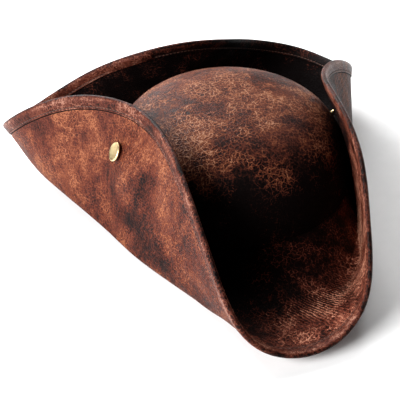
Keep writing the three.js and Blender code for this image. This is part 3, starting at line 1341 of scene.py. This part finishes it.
@dataclass
class Studio:
    """A plain pale floor, soft lights and the camera at the photograph's angle."""

    camera_place: tuple[float, float, float] = (-227.84, -623.90, 496.62)
    camera_azimuth: float = -17.989
    camera_elevation: float = 36.252
    camera_roll: float = -0.850
    focal_px: float = 1043.8
    frame_px: int = 400
    sensor_mm: float = 36.0
    floor_size: float = 6.0
    floor_glow: float = 0.03
    fibre_mm: float = 50 / 3
    light_distance: float = 1.7
    light_size: float = 0.9
    # Each light: bearing from the camera to the left, elevation, power
    lights: dict[LightRole, tuple[float, float, float]] = field(
        default_factory=lambda: {
            LightRole.KEY: (52.0, 27.0, 60.0),
            LightRole.RIM: (148.0, 28.0, 52.0),
            LightRole.TOP: (180.0, 50.0, 20.0),
            LightRole.SIDE: (-150.0, 25.0, 5.0),
        }
    )
    world_strength: float = 0.02

    def build(self) -> None:
        """Makes the floor, the lights, the world and the camera."""
        self.build_floor()
        for role, (bearing, elevation, power) in self.lights.items():
            self.build_light(role, bearing, elevation, power)
        world = bpy.data.worlds.new("studio_air")
        world.use_nodes = True
        sky = world.node_tree.nodes["Background"]
        sky.inputs["Color"].default_value = linear("#ffffff")
        sky.inputs["Strength"].default_value = self.world_strength
        bpy.context.scene.world = world
        bpy.context.scene.view_settings.view_transform = "Standard"
        self.build_camera()

    def build_floor(self) -> None:
        """Lays the floor, a matt pale sweep that the hat stands on."""
        nodes = NodeMaterial("matt_white_paper")
        fibre = nodes.noise(nodes.place(), self.fibre_mm, 4.0)
        material = nodes.surface(
            {
                "Base Color": nodes.ramp(fibre, [(0.3, "#f4f4f4"), (0.7, "#f8f8f8")]),
                "Roughness": 0.9,
                "Specular IOR Level": 0.1,
                "Emission Color": linear("#ffffff"),
                "Emission Strength": self.floor_glow,
            }
        )
        mesh = bmesh.new()
        bmesh.ops.create_grid(mesh, x_segments=1, y_segments=1, size=self.floor_size / 2)
        finished(mesh, "floor", material)

    def heading(self, azimuth: float, elevation: float) -> Vector:
        """Points out from the hat.

        Args:
            azimuth: Degrees from the front round by +X.
            elevation: Degrees above the floor.

        Returns:
            A unit vector.
        """
        turn, rise = math.radians(azimuth), math.radians(elevation)
        across = math.cos(rise)
        return Vector((math.sin(turn) * across, -math.cos(turn) * across, math.sin(rise)))

    def build_light(self, role: LightRole, bearing: float, elevation: float, power: float) -> None:
        """Hangs one soft square light that looks at the hat.

        Args:
            role: What the light is for.
            bearing: Degrees to the left of the camera, seen from the hat.
            elevation: Degrees above the floor.
            power: Watts.
        """
        data = bpy.data.lights.new(f"{role.value}_light", "AREA")
        data.size = self.light_size
        data.energy = power
        direction = self.heading(self.camera_azimuth - bearing, elevation)
        light = bpy.data.objects.new(data.name, data)
        light.location = direction * self.light_distance
        light.rotation_euler = direction.to_track_quat("Z", "Y").to_euler()
        bpy.context.scene.collection.objects.link(light)

    def build_camera(self) -> None:
        """Sets up the camera that sees the hat as the photograph does."""
        data = bpy.data.cameras.new("camera")
        data.sensor_width = self.sensor_mm
        data.lens = self.focal_px * self.sensor_mm / self.frame_px
        camera = bpy.data.objects.new("camera", data)
        back = self.heading(self.camera_azimuth, self.camera_elevation)
        azimuth = math.radians(self.camera_azimuth)
        right = Vector((math.cos(azimuth), math.sin(azimuth), 0))
        right = Matrix.Rotation(math.radians(self.camera_roll), 3, back) @ right
        turn = Matrix((right, back.cross(right), back)).transposed().to_4x4()
        camera.matrix_world = Matrix.Translation(Vector(self.camera_place) * MM) @ turn
        bpy.context.scene.collection.objects.link(camera)
        bpy.context.scene.camera = camera


def main() -> None:
    logging.basicConfig(level=logging.INFO, format="%(relativeCreated)d ms %(name)s: %(message)s")
    form = HatForm()
    # The crown's hide is evenly waxed and finely cracked; its top is painted paler, as sheen, and
    # its foot in front darker, as shade.
    crown_hide = LeatherFinish(
        "crown_pull_up_leather",
        pale="#956a52",
        crackle=0.38,
        specks=0.14,
        lightness=0.01,
        gloss=0.05,
    ).build()
    # The brim's upper face is redder and more rubbed, with sharp creases in the front corner.
    inner_hide = LeatherFinish(
        "brim_inner_pull_up_leather",
        rosy="#57281f",
        warm="#6c3829",
        worn="#8a5240",
        pale="#c48a70",
        crackle=0.36,
        creases=1.0,
        roughness=0.32,
        lightness=0.03,
        gloss=0.05,
        bump=1.0,
    ).build()
    # Its underside has broad rusty clouds, fewer cracks and long dark streaks.
    outer_hide = LeatherFinish(
        "brim_outer_pull_up_leather",
        dark="#0a0303",
        cloud="#220f0d",
        body="#38180f",
        rosy="#4c2119",
        warm="#582a1b",
        worn="#6e3c28",
        pale="#8a553a",
        streaks=0.16,
        net_share=0.6,
        crease_mm=4.2,
        crease_axis=CreaseAxis.SIDE,
        creases=1.1,
        lightness=0.1,
        gloss=0.08,
    ).build()
    # The binding is a smoother, darker strip with small clouds, painted paler along its crest as a
    # highlight.
    binding_hide = LeatherFinish(
        "binding_pull_up_leather",
        cloud_mm=20.0,
        body="#38180f",
        rosy="#4a211a",
        warm="#552b1e",
        worn="#6c4032",
        pale="#8c6252",
        crackle=0.3,
        lightness=0.06,
        roughness=0.38,
        gloss=0.08,
    ).build()
    Crown(form).build(crown_hide)
    Brim(form).build(inner_hide, outer_hide)
    binding = EdgeBinding(form)
    binding.build(binding_hide)
    binding.build_lap(binding_hide)
    thread = ThreadFinish().build()
    for side in (1, -1):
        binding.build_stitches(side, thread)
    brass = BrassFinish().build()
    Stud(form, "stud_right", -1).build(brass)
    Stud(form, "stud_left", 1).build(brass)
    Studio().build()


if __name__ == "__main__":
    main()
